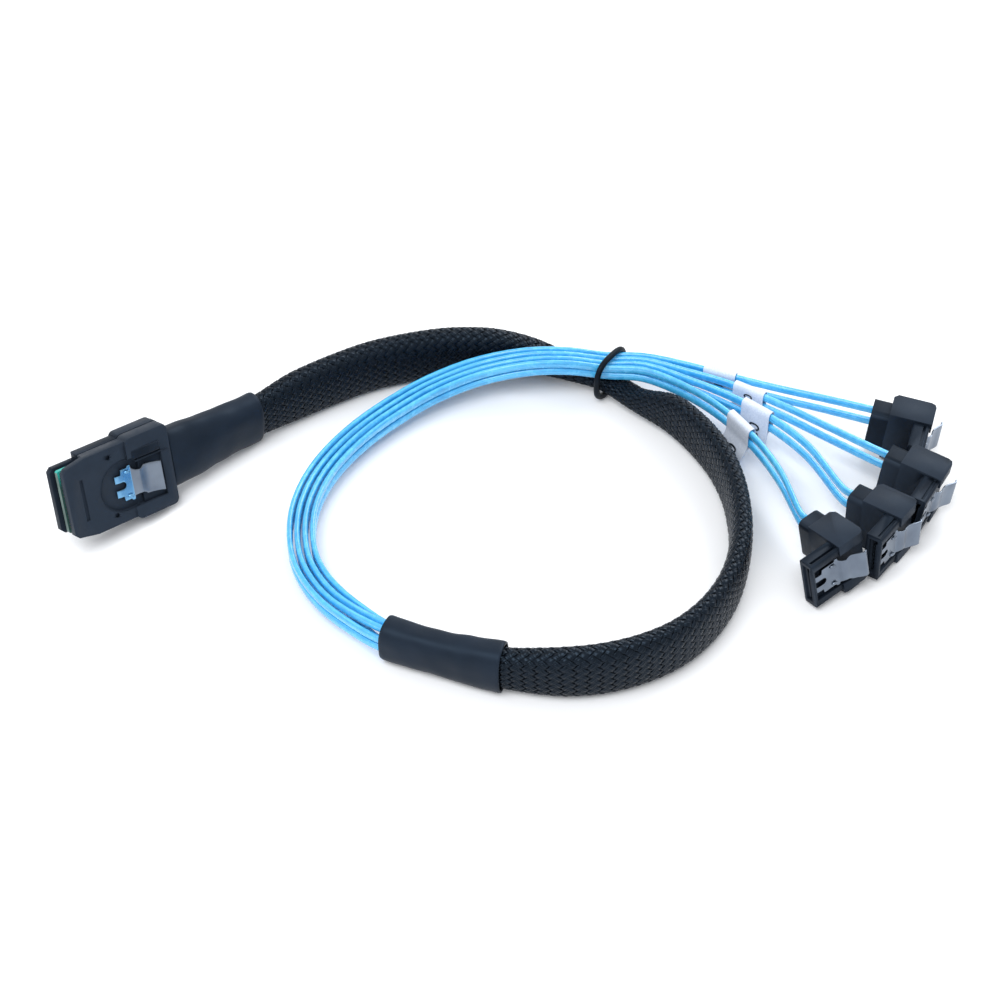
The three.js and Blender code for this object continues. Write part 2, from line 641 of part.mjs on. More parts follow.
DRIVE_PLACES.forEach(({ number }) => {
  [['a', 1], ['b', -1]].forEach(([letter, row]) => {
    const size = () => [STRAND.width, STRAND.height];
    const strand = layAlong(strandRoute(number, row), STRAND.steps, STRAND.sides, size);
    addPiece(cable, `strand_${number}${letter}`, strand, finish.wire);
  });
});

// Rubber ring that ties the wires to the trunk
const ring = new THREE.TorusGeometry(RING.up, RING.cord / 2, 8, 32);
const ringPoints = ring.attributes.position;
for (let i = 0; i < ringPoints.count; i += 1) {
  const x = ringPoints.getX(i);
  const y = ringPoints.getY(i);
  const radius = Math.hypot(x, y);
  const square = (Math.abs(x / radius) ** RING.fullness + Math.abs(y / radius) ** RING.fullness) ** (-1 / RING.fullness);
  const stretch = (RING.up * square + radius - RING.up) / radius;
  ringPoints.setXY(i, x * stretch, y * stretch);
}
ring.scale(RING.across / RING.up, 1, 1).rotateX(Math.PI / 2).rotateZ(Math.PI / 2);
ring.rotateZ(degrees(RING.yaw)).translate(RING.x, RING.y, RING.z);
addPiece(cable, 'tie_ring', solid(ring), finish.rubber);

// Paper flags folded round each pair, on the straight stretch after the tie
function flagSolid(rowGap, tail) {
  const { length, paper } = FLAG;
  const wide = STRAND.width / 2 + TOUCH;
  const tall = rowGap + STRAND.height / 2 + TOUCH;
  const radius = wide - 0.05;
  const outer = roundedBox(-wide - paper, wide + paper, -tall - paper, tall + paper, radius);
  const inner = roundedBox(-wide, wide, -tall, tall, radius - 0.1);
  const loop = alongX(outer, -length / 2, length / 2).subtract(alongX(inner, -length, length));
  if (tail === 0) {
    return loop;
  }
  return loop.add(box(-length / 2, length / 2, -wide - paper, -wide, -tall - tail, -tall + 1.2));
}

FLAG_PLACES.forEach(({ number, share, tail }) => {
  const route = [BUNDLE_ROUTE[BUNDLE_ROUTE.length - 1], ...FAN_ROUTES[number]];
  const curve = new THREE.CatmullRomCurve3(route.map(([x, y, z]) => new THREE.Vector3(x, y, z)), false, 'centripetal');
  const place = curve.getPointAt(share);
  const along = curve.getTangentAt(share);
  const group = new THREE.Group();
  group.rotation.set(0, -Math.asin(along.z), Math.atan2(along.y, along.x), 'ZYX');
  group.position.copy(place);
  const rowGap = THREE.MathUtils.lerp(LANES.tie.row, LANES.boot.row, share);
  addPiece(group, `label_flag_${number}`, flagSolid(rowGap, tail), finish.paper);
  cable.add(group);
});

cable.position.set(-HOME.x, -HOME.y, 0);
cable.updateMatrixWorld(true);

export default cable;
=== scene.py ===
# Looks of the breakout cable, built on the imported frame
import math

import bpy
import numpy as np
from mathutils import Euler, Matrix, Vector


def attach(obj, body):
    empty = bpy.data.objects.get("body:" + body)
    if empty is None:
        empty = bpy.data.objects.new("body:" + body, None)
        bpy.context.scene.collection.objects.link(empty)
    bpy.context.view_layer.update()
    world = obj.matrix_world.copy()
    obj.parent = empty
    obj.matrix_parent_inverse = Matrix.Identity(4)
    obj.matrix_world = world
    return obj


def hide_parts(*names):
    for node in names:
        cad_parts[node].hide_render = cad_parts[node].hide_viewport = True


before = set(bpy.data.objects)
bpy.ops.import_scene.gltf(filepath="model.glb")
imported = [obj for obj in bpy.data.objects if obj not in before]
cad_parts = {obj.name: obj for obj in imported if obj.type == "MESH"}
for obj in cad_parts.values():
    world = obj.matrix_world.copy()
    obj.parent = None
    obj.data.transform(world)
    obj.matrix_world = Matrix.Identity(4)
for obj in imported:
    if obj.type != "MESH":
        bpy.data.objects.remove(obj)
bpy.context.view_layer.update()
bpy.ops.object.select_all(action="DESELECT")

MM = 0.001
CAMERA_DISTANCE = 500
CAMERA_TILT = math.radians(45)
CAMERA_LENS = 75.6
# Where the cable was laid out; the frame's origin lies between its plugs
HOME = Vector((1.6, -7.15, 0))


# Camera

def aim_camera():
    data = bpy.data.cameras.new("camera")
    data.sensor_width = 36
    data.lens = CAMERA_LENS
    data.clip_start = 0.01
    camera = bpy.data.objects.new("camera", data)
    bpy.context.scene.collection.objects.link(camera)
    reach = CAMERA_DISTANCE * math.sin(CAMERA_TILT)
    camera.location = (Vector((0, -reach, reach)) - HOME) * MM
    camera.rotation_euler = (CAMERA_TILT, 0, 0)
    bpy.context.scene.camera = camera


aim_camera()


# Routes of the cords

# Trunk from the host plug to the breakout: x, y, z, width across, height, roll
HOST_LEAN = -17
TRUNK_ROUTE = [
    [-65.8, 15.6, 8.3, 5.8, 11.6],
    [-58.9, 21.6, 7.5, 5.9, 11.9],
    [-50.3, 28.6, 7.5, 7, 14.4],
    [-41.3, 34.6, 7.5, 7, 14.8],
    [-32.1, 39.7, 7.5, 7, 14.8],
    [-22.5, 43, 7.5, 7, 14.8],
    [-13, 45.2, 7.4, 7, 14.6],
    [-2.5, 46, 7, 7, 13.8],
    [7.5, 46.2, 5.4, 7.2, 10.2],
    [17.4, 43, 4.1, 7.2, 6],
    [26.6, 38.4, 3.8, 7.2, 3.6],
    [34, 31, 4.2, 6.6, 5.6],
    [42.6, 22.4, 6.6, 5.8, 12.4],
    [47.6, 15.4, 6.9, 5.7, 13.4],
    [51.8, 6.8, 7.2, 5.7, 14],
    [54.4, -2.6, 7.3, 5.7, 14.2],
    [55.3, -11.6, 7.4, 5.7, 14.4],
    [55.1, -20.1, 7.4, 5.7, 14.4],
    [53.6, -28.6, 7.4, 5.8, 14.5],
    [50.6, -37, 7.4, 6, 14.6],
    [45.6, -45, 7.4, 6.2, 14.6],
    [38.8, -51.6, 7.4, 6.4, 14.6],
    [31, -56, 7.4, 6.6, 14.6],
    [22.6, -58.7, 7.4, 6.8, 14.6],
    [14.6, -59.6, 7.3, 6.8, 14.2],
    [7.8, -59, 6.8, 6.6, 13],
    [1.5, -57.9, 6.4, 6.4, 11.4],
    [-3.3, -56.5, 6.3, 6.4, 10.9],
    [-9, -54.6, 6.2, 6, 9.6],
]
HOST_SHRINK_ROUTE = [
    [-65.8, 15.6, 8.3, 7.6, 13.6],
    [-59.4, 21.2, 7.5, 7.7, 13.7],
]
BREAKOUT_SHRINK_ROUTE = [
    [0.8, -57.7, 6.4, 8.6, 12.8],
    [-3.3, -56.5, 6.3, 8.3, 12.4],
    [-9, -54.6, 6.1, 7.6, 11.2],
    [-15.3, -52.4, 5.9, 7.5, 10.8],
    [-20.8, -50.2, 5.8, 7.6, 10.8],
    [-25, -48.2, 5.8, 7.9, 10.9],
]
# Middle of the eight wires: x, y, z, opened, closed
BUNDLE_ROUTE = [
    [-9.6, -54.4, 6.1, 0, 0],
    [-15.3, -52.4, 5.9, 0, 0],
    [-20.8, -50.2, 5.8, 0, 0],
    [-26, -47.7, 5.7, 0.05, 0],
    [-32.4, -42.3, 5.4, 0.6, 0],
    [-38, -36.4, 5.1, 1, 0],
    [-42, -30.4, 4.9, 1, 0],
    [-44.6, -24, 4.8, 1, 0],
    [-45.8, -17, 4.8, 1, 0],
    [-45.8, -9.6, 4.9, 1, 0],
    [-44.4, -2.4, 5, 1, 0],
    [-41.9, 4.2, 5.2, 1, 0],
    [-37.9, 11.2, 5.4, 1, 0],
    [-32.2, 18.6, 5.6, 1, 0],
    [-24.6, 26.1, 5.9, 1, 0],
    [-16.4, 32.2, 6.6, 1, 0],
    [-5.4, 37, 8, 1, 0],
    [7, 38.4, 10, 1, 0.3],
    [17, 38.8, 9.9, 1, 0.8],
    [26.6, 39.1, 8.2, 1, 1],
]
FAN_ROUTES = {
    1: [[35.4, 34.9, 8.6], [46.4, 27.2, 9], [54.2, 19, 8.8], [60.1, 10.2, 8.4], [65.5, -1.3, 7.6]],
    2: [[35.5, 36.8, 8.6], [46.7, 30.8, 8.5], [56.1, 24.6, 8.3], [65.1, 16.8, 8.1], [73, 6.9, 7.7]],
    3: [[35.6, 38.5, 8.6], [46, 34.2, 8.4], [56.4, 29.2, 8.2], [67.6, 21.6, 8.2], [78, 13, 8.4]],
    4: [[35.6, 40.2, 8.6], [45.6, 36.8, 8.5], [56, 32.2, 8.3], [68, 27.2, 8.2], [78, 23.3, 8.2]],
}
TUBE_LANES = {"outer": 2.3, "inner": 0.75, "outer_row": 1.3, "inner_row": 3.2}
LOOP_LANES = {"pitch": 1.8, "row": 1.25}
TIE_LANES = {"pitch": 1.65, "row": 1.12}
BOOT_ROW = 1.85
# The wires enter the upper half of each boot
BOOT_RISE = 2
STRAND_WIDTH = 1.3
STRAND_HEIGHT = 2.1
# Rear end of the host plug along its own x, and the middle of a drive plug's boot end in its x and y
HOST_REAR = -28.3
BOOT_END = (3.8, -14.6)
# How a superellipse bulges: 1 is an ellipse, and less is fuller at the corners
SLEEVE_FULLNESS = 0.75
WIRE_FULLNESS = 0.82
SHRINK_WALL = 0.55

# Plugs: place, then yaw, nose-up and lean in degrees
HOST_PLACE = ((-99.8, -15.3, 14.475), -138, 8, 17)
DRIVE_PLACES = {
    1: ((82.9, -26.6, 9.641), -143, -7, 10),
    2: ((95.9, -15.1, 7.768), -128, 0, 3),
    3: ((105.3, -1.6, 7.568), -121, 0, -4),
    4: ((104.3, 17.8, 7.579), -107.5, 0, -3),
}


def plug_matrix(place):
    point, yaw, nose_up, lean = place
    turn = Euler((math.radians(lean), math.radians(-nose_up), math.radians(yaw)), "XYZ").to_matrix()
    return Matrix.Translation(Vector(point)) @ turn.to_4x4()


HOST = plug_matrix(HOST_PLACE)
DRIVES = {number: plug_matrix(place) for number, place in DRIVE_PLACES.items()}


def centripetal(points, per_span=24):
    """Dense points of a centripetal Catmull-Rom curve through the given ones."""
    p = np.array(points, float)
    p = np.vstack([2 * p[0] - p[1], p, 2 * p[-1] - p[-2]])
    t = np.linspace(0, 1, per_span, endpoint=False)[:, None]
    out = []
    for a, b, c, d in zip(p[:-3], p[1:-2], p[2:-1], p[3:]):
        d0, d1, d2 = (math.sqrt(np.linalg.norm(q)) for q in (b - a, c - b, d - c))
        t1 = ((b - a) / d0 - (c - a) / (d0 + d1) + (c - b) / d1) * d1
        t2 = ((c - b) / d1 - (d - b) / (d1 + d2) + (d - c) / d2) * d1
        out.append(b + t1 * t + (-3 * b + 3 * c - 2 * t1 - t2) * t**2 + (2 * b - 2 * c + t1 + t2) * t**3)
    return np.vstack(out + [p[-2:-1]])


def even(points, step):
    """The curve through the points, sampled at even steps of about the given length."""
    dense = centripetal(points)
    run = np.concatenate([[0], np.cumsum(np.linalg.norm(np.diff(dense, axis=0), axis=1))])
    shares = np.linspace(0, run[-1], max(int(round(run[-1] / step)), 2) + 1)
    return np.stack([np.interp(shares, run, dense[:, k]) for k in range(3)], 1), run[-1]


def sides_of(centres, roll=0.0):
    """Directions across and upwards at each point of a laid line."""
    along = np.gradient(centres, axis=0)
    along /= np.linalg.norm(along, axis=1)[:, None]
    across = np.cross([0, 0, 1], along)
    across /= np.linalg.norm(across, axis=1)[:, None]
    top = np.cross(along, across)
    angle = np.radians(np.broadcast_to(roll, len(centres)))[:, None]
    return across * np.cos(angle) + top * np.sin(angle), top * np.cos(angle) - across * np.sin(angle)


def sizes_at(route, count):
    """Width, height and roll between a route's stations, at even shares of its length."""
    full = np.array([list(row) + [0] * (6 - len(row)) for row in route], float)
    run = np.concatenate([[0], np.cumsum(np.linalg.norm(np.diff(full[:, :3], axis=0), axis=1))])
    at = np.linspace(0, run[-1], count)
    values = np.stack([np.interp(at, run, full[:, k]) for k in (3, 4, 5)], 1)
    soft = np.array([1, 2, 3, 2, 1], float) / 9
    for _ in range(3):
        padded = np.vstack([values[:1]] * 2 + [values] + [values[-1:]] * 2)
        values = np.stack([np.convolve(padded[:, k], soft, "valid") for k in range(3)], 1)
    return values


def oval(count, fullness):
    angle = 2 * np.pi * (np.arange(count) + 0.5) / count
    bulge = lambda v: np.sign(v) * np.abs(v) ** fullness
    return np.stack([bulge(np.cos(angle)), bulge(np.sin(angle))], 1)


def behind_host(distance, width, height):
    point = HOST @ Vector((HOST_REAR - distance, 0, 0))
    return [point.x, point.y, point.z, width, height, HOST_LEAN]


def fan_line(number):
    """Middle of a pair from the tie to its boot, rising to where it enters."""
    fan = FAN_ROUTES[number]
    return [[x, y, z + BOOT_RISE * (i + 1) / (len(fan) + 1)] for i, (x, y, z) in enumerate(fan)]


def strand_points(number, row):
    """Points of one flat wire, from inside the trunk to its boot."""
    middle = np.array([station[:2] for station in BUNDLE_ROUTE])
    column = number - 2.5
    inner = abs(column) < 1
    tube_across = math.copysign(TUBE_LANES["inner" if inner else "outer"], column)
    tube_up = TUBE_LANES["inner_row" if inner else "outer_row"]
    points = []
    for i, (x, y, z, opened, closed) in enumerate(BUNDLE_ROUTE):
        along = middle[min(i + 1, len(middle) - 1)] - middle[max(i - 1, 0)]
        along = along / np.linalg.norm(along)
        pitch = LOOP_LANES["pitch"] + (TIE_LANES["pitch"] - LOOP_LANES["pitch"]) * closed
        rise = LOOP_LANES["row"] + (TIE_LANES["row"] - LOOP_LANES["row"]) * closed
        across = tube_across + (column * pitch - tube_across) * opened
        up = row * (tube_up + (rise - tube_up) * opened)
        points.append([x - along[1] * across, y + along[0] * across, z + up])
    for i, (x, y, z) in enumerate(fan_line(number)):
        share = (i + 1) / (len(FAN_ROUTES[number]) + 1)
        points.append([x, y, z + row * (TIE_LANES["row"] + (BOOT_ROW - TIE_LANES["row"]) * share)])
    for away in (2.2, -0.6):
        end = Vector((BOOT_END[0], BOOT_END[1] - away, row * BOOT_ROW + BOOT_RISE))
        points.append(list(DRIVES[number] @ end))
    return points


# Mesh helpers

def loft(name, rings, lengths=None, closed_ends=True, looped=False):
    """Skin over rings of points, with a map of millimetres round and along it."""
    rings = np.asarray(rings, float)
    count, sides = rings.shape[:2]
    verts = (rings.reshape(-1, 3) - np.array(HOME)) * MM
    i = np.arange(count if looped else count - 1)[:, None]
    j = np.arange(sides)[None, :]
    nxt = (i + 1) % count
    beside = (j + 1) % sides
    quads = np.stack([i * sides + j, i * sides + beside, nxt * sides + beside, nxt * sides + j], -1)
    quads = quads.reshape(-1, 4)
    mesh = bpy.data.meshes.new(name)
    faces = quads.tolist()
    if closed_ends and not looped:
        faces.append(list(range(sides))[::-1])
        faces.append(list(range((count - 1) * sides, count * sides)))
    mesh.from_pydata(verts.tolist(), [], faces)
    mesh.shade_smooth()
    if lengths is not None:
        round_ = np.linalg.norm(np.roll(rings[0], -1, 0) - rings[0], axis=1)
        u = np.concatenate([[0], np.cumsum(round_)])
        layer = mesh.uv_layers.new(name="lay")
        values = np.zeros((len(mesh.loops), 2))
        ii = np.broadcast_to(i, (len(i), sides)).reshape(-1)
        jj = np.broadcast_to(j, (len(i), sides)).reshape(-1)
        v0 = lengths[ii]
        v1 = lengths[(ii + 1) % count]
        quad_uv = np.stack([np.stack([u[jj], v0], 1), np.stack([u[jj + 1], v0], 1),
                            np.stack([u[jj + 1], v1], 1), np.stack([u[jj], v1], 1)], 1)
        values[: quad_uv.shape[0] * 4] = quad_uv.reshape(-1, 2)
        layer.data.foreach_set("uv", values.ravel())
    obj = bpy.data.objects.new(name, mesh)
    bpy.context.scene.collection.objects.link(obj)
    return obj


# Material helpers

def srgb(code):
    values = [int(code[i:i + 2], 16) / 255 for i in (1, 3, 5)]
    return [v / 12.92 if v <= 0.04045 else ((v + 0.055) / 1.055) ** 2.4 for v in values] + [1]


# Dark plastics mirror the studio in a slightly blue tone
COOL_SHEEN = (0.5, 0.72, 1, 1)


def new_material(name, **sockets):
    material = bpy.data.materials.new(name)
    material.use_nodes = True
    shader = material.node_tree.nodes["Principled BSDF"]
    for key, value in sockets.items():
        shader.inputs[key.replace("_", " ")].default_value = value
    return material, shader


def add(material, kind, sockets=None, **props):
    node = material.node_tree.nodes.new("ShaderNode" + kind)
    for key, value in props.items():
        setattr(node, key, value)
    for key, value in (sockets or {}).items():
        if isinstance(value, bpy.types.NodeSocket):
            material.node_tree.links.new(value, node.inputs[key])
        else:
            node.inputs[key].default_value = value
    return node


def ramp(material, factor, stops):
    """Colours between stops, each a hex code or a grey level."""
    node = add(material, "ValToRGB", {"Fac": factor})
    elements = node.color_ramp.elements
    while len(elements) < len(stops):
        elements.new(0.5)
    for element, (at, colour) in zip(elements, stops):
        element.position = at
        element.color = srgb(colour) if isinstance(colour, str) else (colour, colour, colour, 1)
    return node.outputs["Color"]


def bump(material, shader, height, strength, distance, before=None):
    node = add(material, "Bump", {"Strength": strength, "Distance": distance, "Height": height})
    if before is not None:
        material.node_tree.links.new(before, node.inputs["Normal"])
    material.node_tree.links.new(node.outputs["Normal"], shader.inputs["Normal"])
    return node.outputs["Normal"]


def set_link(material, shader, key, output):
    material.node_tree.links.new(output, shader.inputs[key])


def ramped(material, shader, key, factor, stops):
    """One of the shader's sockets, driven by a ramp."""
    set_link(material, shader, key, ramp(material, factor, stops))


# Materials

def moulded_plastic(name, dark, light, rough=0.5):
    """Satin moulded PBT, with fine spark-eroded grain and a lighter grey on its sharp edges."""
    material, shader = new_material(name, Specular_IOR_Level=0.16, Specular_Tint=COOL_SHEEN)
    where = add(material, "TexCoord").outputs["Object"]
    cloud = add(material, "TexNoise", {"Vector": where, "Scale": 260, "Detail": 4})
    colour = ramp(material, cloud.outputs["Fac"], [(0.35, dark), (0.7, light)])
    # Sharp edges, found by pointiness, are mixed towards a lighter grey
    edge = add(material, "NewGeometry").outputs["Pointiness"]
    sharp_edge_lightening = ramp(material, edge, [(0.52, 0), (0.6, 0.3)])
    mix = add(material, "Mix", {"Factor": sharp_edge_lightening, "A": colour, "B": srgb("#3c4654")}, data_type="RGBA")
    set_link(material, shader, "Base Color", mix.outputs["Result"])
    sheen = ramp(material, cloud.outputs["Fac"], [(0.3, rough - 0.06), (0.75, rough + 0.08)])
    set_link(material, shader, "Roughness", sheen)
    grain = add(material, "TexNoise", {"Vector": where, "Scale": 5200, "Detail": 2})
    bump(material, shader, grain.outputs["Fac"], 0.22, 0.00006)
    return material


def shrink_tube():
    """Heat-shrunk polyolefin: smooth satin, with soft waves over what it grips."""
    material, shader = new_material("heat_shrink_tube", Specular_IOR_Level=0.2, Specular_Tint=COOL_SHEEN)
    where = add(material, "TexCoord").outputs["Object"]
    cloud = add(material, "TexNoise", {"Vector": where, "Scale": 90, "Detail": 5})
    colour = ramp(material, cloud.outputs["Fac"], [(0.3, "#131922"), (0.75, "#1c2430")])
    set_link(material, shader, "Base Color", colour)
    ramped(material, shader, "Roughness", cloud.outputs["Fac"], [(0.3, 0.42), (0.8, 0.55)])
    soft = add(material, "TexNoise", {"Vector": where, "Scale": 320, "Detail": 3})
    first = bump(material, shader, soft.outputs["Fac"], 0.3, 0.0002)
    fine = add(material, "TexNoise", {"Vector": where, "Scale": 3600, "Detail": 2})
    bump(material, shader, fine.outputs["Fac"], 0.15, 0.00004, first)
    return material


def braid_filament():
    """Black polyester monofilament, glossy along its length."""
    material, shader = new_material("braid_filament", Specular_IOR_Level=0.24, Specular_Tint=COOL_SHEEN)
    where = add(material, "TexCoord").outputs["Object"]
    cloud = add(material, "TexNoise", {"Vector": where, "Scale": 700, "Detail": 3})
    ramped(material, shader, "Base Color", cloud.outputs["Fac"], [(0.3, "#04060a"), (0.75, "#0d121a")])
    ramped(material, shader, "Roughness", cloud.outputs["Fac"], [(0.35, 0.2), (0.75, 0.4)])
    return material


def foil_wrap():
    """Light blue film wound over the wire: glossy, with slanted laps and creases."""
    material, shader = new_material("foil_wrap", Specular_IOR_Level=0.6, Coat_Weight=0.5, Coat_Roughness=0.2)
    lay = add(material, "UVMap", uv_map="lay").outputs["UV"]
    slanted = add(material, "Mapping", {"Vector": lay, "Rotation": (0, 0, math.radians(38))})
    wound = slanted.outputs["Vector"]
    laps = add(material, "TexWave", {"Vector": wound, "Scale": 0.16, "Distortion": 0.8, "Detail": 1.5},
               wave_profile="SAW")
    creases = add(material, "TexNoise", {"Vector": wound, "Scale": 0.55, "Detail": 3, "Roughness": 0.5})
    long_way = add(material, "Mapping", {"Vector": lay, "Scale": (1.6, 0.05, 1)})
    streak = add(material, "TexNoise", {"Vector": long_way.outputs["Vector"], "Scale": 1.2, "Detail": 2})
    tone = add(material, "Mix", {"Factor": 0.7, "A": creases.outputs["Fac"], "B": streak.outputs["Fac"]},
               data_type="FLOAT")
    colour = ramp(material, tone.outputs["Result"],
                  [(0.32, "#2f94d4"), (0.5, "#45b0e8"), (0.7, "#64c8f6")])
    lapped = ramp(material, laps.outputs["Fac"], [(0.0, "#3f97cf"), (0.14, "#ffffff")])
    mix = add(material, "Mix", {"Factor": 0.2, "A": colour, "B": lapped},
              data_type="RGBA", blend_type="MULTIPLY")
    set_link(material, shader, "Base Color", mix.outputs["Result"])
    ramped(material, shader, "Roughness", creases.outputs["Fac"], [(0.35, 0.16), (0.7, 0.34)])
    first = bump(material, shader, laps.outputs["Fac"], 0.3, 0.00007)
    bump(material, shader, creases.outputs["Fac"], 0.18, 0.0001, first)
    return material


def stamped_steel(name, dark, light, rough):
    """Stainless spring steel, stamped and tumbled to a satin grey."""
    material, shader = new_material(name, Metallic=1.0)
    where = add(material, "TexCoord").outputs["Object"]
    cloud = add(material, "TexNoise", {"Vector": where, "Scale": 160, "Detail": 2})
    ramped(material, shader, "Base Color", cloud.outputs["Fac"], [(0.3, dark), (0.75, light)])
    ramped(material, shader, "Roughness", cloud.outputs["Fac"], [(0.3, rough), (0.8, rough + 0.1)])
    fine = add(material, "TexNoise", {"Vector": where, "Scale": 4200, "Detail": 2})
    bump(material, shader, fine.outputs["Fac"], 0.12, 0.00003)
    return material


def solder_mask():
    """Green glass-fibre board under glossy solder mask, brighter where the mouth lets light in."""
    material, shader = new_material("solder_mask", Specular_IOR_Level=0.5, Roughness=0.35)
    where = add(material, "TexCoord").outputs["Object"]
    side = HOST.to_3x3() @ Vector((0, 0, 1))
    middle = (HOST.translation - HOME).dot(side)
    across = add(material, "VectorMath", {0: where, 1: tuple(side / MM)}, operation="DOT_PRODUCT")
    reach = {"From Min": middle + 3, "From Max": middle + 7.5}
    share = add(material, "MapRange", {"Value": across.outputs["Value"], **reach})
    ramped(material, shader, "Base Color", share.outputs["Result"], [(0.2, "#31504c"), (0.9, "#2fa59c")])
    weave = add(material, "TexNoise", {"Vector": where, "Scale": 1400, "Detail": 2})
    bump(material, shader, weave.outputs["Fac"], 0.1, 0.00003)
    return material


def gold_plate():
    """Gold flash over nickel on the card's contact pads."""
    material, shader = new_material("gold_plate", Metallic=1.0)
    where = add(material, "TexCoord").outputs["Object"]
    scuff = add(material, "TexNoise", {"Vector": where, "Scale": 2600, "Detail": 3})
    ramped(material, shader, "Base Color", scuff.outputs["Fac"], [(0.3, "#c79a3f"), (0.7, "#eccb78")])
    ramped(material, shader, "Roughness", scuff.outputs["Fac"], [(0.3, 0.2), (0.7, 0.36)])
    return material


def smooth_rubber():
    """Black nitrile ring."""
    material, shader = new_material("ring_rubber", Specular_IOR_Level=0.14, Specular_Tint=COOL_SHEEN)
    where = add(material, "TexCoord").outputs["Object"]
    cloud = add(material, "TexNoise", {"Vector": where, "Scale": 900, "Detail": 4})
    ramped(material, shader, "Base Color", cloud.outputs["Fac"], [(0.3, "#07090c"), (0.7, "#10141a")])
    ramped(material, shader, "Roughness", cloud.outputs["Fac"], [(0.3, 0.34), (0.7, 0.5)])
    bump(material, shader, cloud.outputs["Fac"], 0.12, 0.00004)
    return material


def label_paper():
    """White self-adhesive paper, slightly bluish, with faint fibre."""
    material, shader = new_material("label_paper", Specular_IOR_Level=0.35)
    where = add(material, "TexCoord").outputs["Object"]
    fibre = add(material, "TexNoise", {"Vector": where, "Scale": 2400, "Detail": 6})
    ramped(material, shader, "Base Color", fibre.outputs["Fac"], [(0.3, "#c3cfe2"), (0.7, "#d9e2f0")])
    ramped(material, shader, "Roughness", fibre.outputs["Fac"], [(0.3, 0.5), (0.7, 0.7)])
    bump(material, shader, fibre.outputs["Fac"], 0.12, 0.00003)
    return material


HOUSING = moulded_plastic("moulded_housing", "#0f141c", "#161d27")
INSULATOR = moulded_plastic("contact_insulator", "#0b0e12", "#13171d", 0.45)
POTTING = moulded_plastic("moulded_potting", "#0a0c0f", "#111419", 0.6)
SHRINK = shrink_tube()
BRAID = braid_filament()
FOIL = foil_wrap()
STEEL = stamped_steel("stamped_steel", "#656e7b", "#7b8592", 0.28)
# Bluer steel colour for the leaf inside the host housing: a painted reflection
STEEL_WITH_PAINTED_REFLECTION = stamped_steel("steel_with_painted_reflection", "#5b8fb8", "#78a9cd", 0.24)
BOARD = solder_mask()
GOLD = gold_plate()
RUBBER = smooth_rubber()
PAPER = label_paper()
GLASS_FIBRE = moulded_plastic("glass_fibre_edge", "#5c6d67", "#7d8f88", 0.5)
INK = moulded_plastic("printing_ink", "#10131a", "#1b202a", 0.6)


def give(obj, material, body="cable"):
    obj.data.materials.clear()
    obj.data.materials.append(material)
    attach(obj, body)
    return obj


def dress(node, material):
    """A better material on a CAD node that stays."""
    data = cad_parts[node].data
    if not data.materials:
        data.materials.append(material)
    for i in range(len(data.materials)):
        data.materials[i] = material


# Braided sleeve

# Where the sleeve starts behind the host plug, and its width and height there
SLEEVE_START = (6.3, 5.6, 11.4)
CARRIERS = 16
# Length in which a ribbon goes once round, its width, how far it weaves in and out, and its depth
TURN = 42.6
RIBBON = 1.62
WEAVE = 0.24
RIBBON_DEPTH = 0.62
# Three filaments side by side: place across the ribbon and height over it
LOBES = [(-0.5, 0.0), (-0.43, 0.17), (-0.33, 0.2), (-0.21, 0.1), (-0.1, 0.2), (0.0, 0.23), (0.1, 0.2),
         (0.21, 0.1), (0.33, 0.2), (0.43, 0.17), (0.5, 0.0), (0.0, -0.06)]


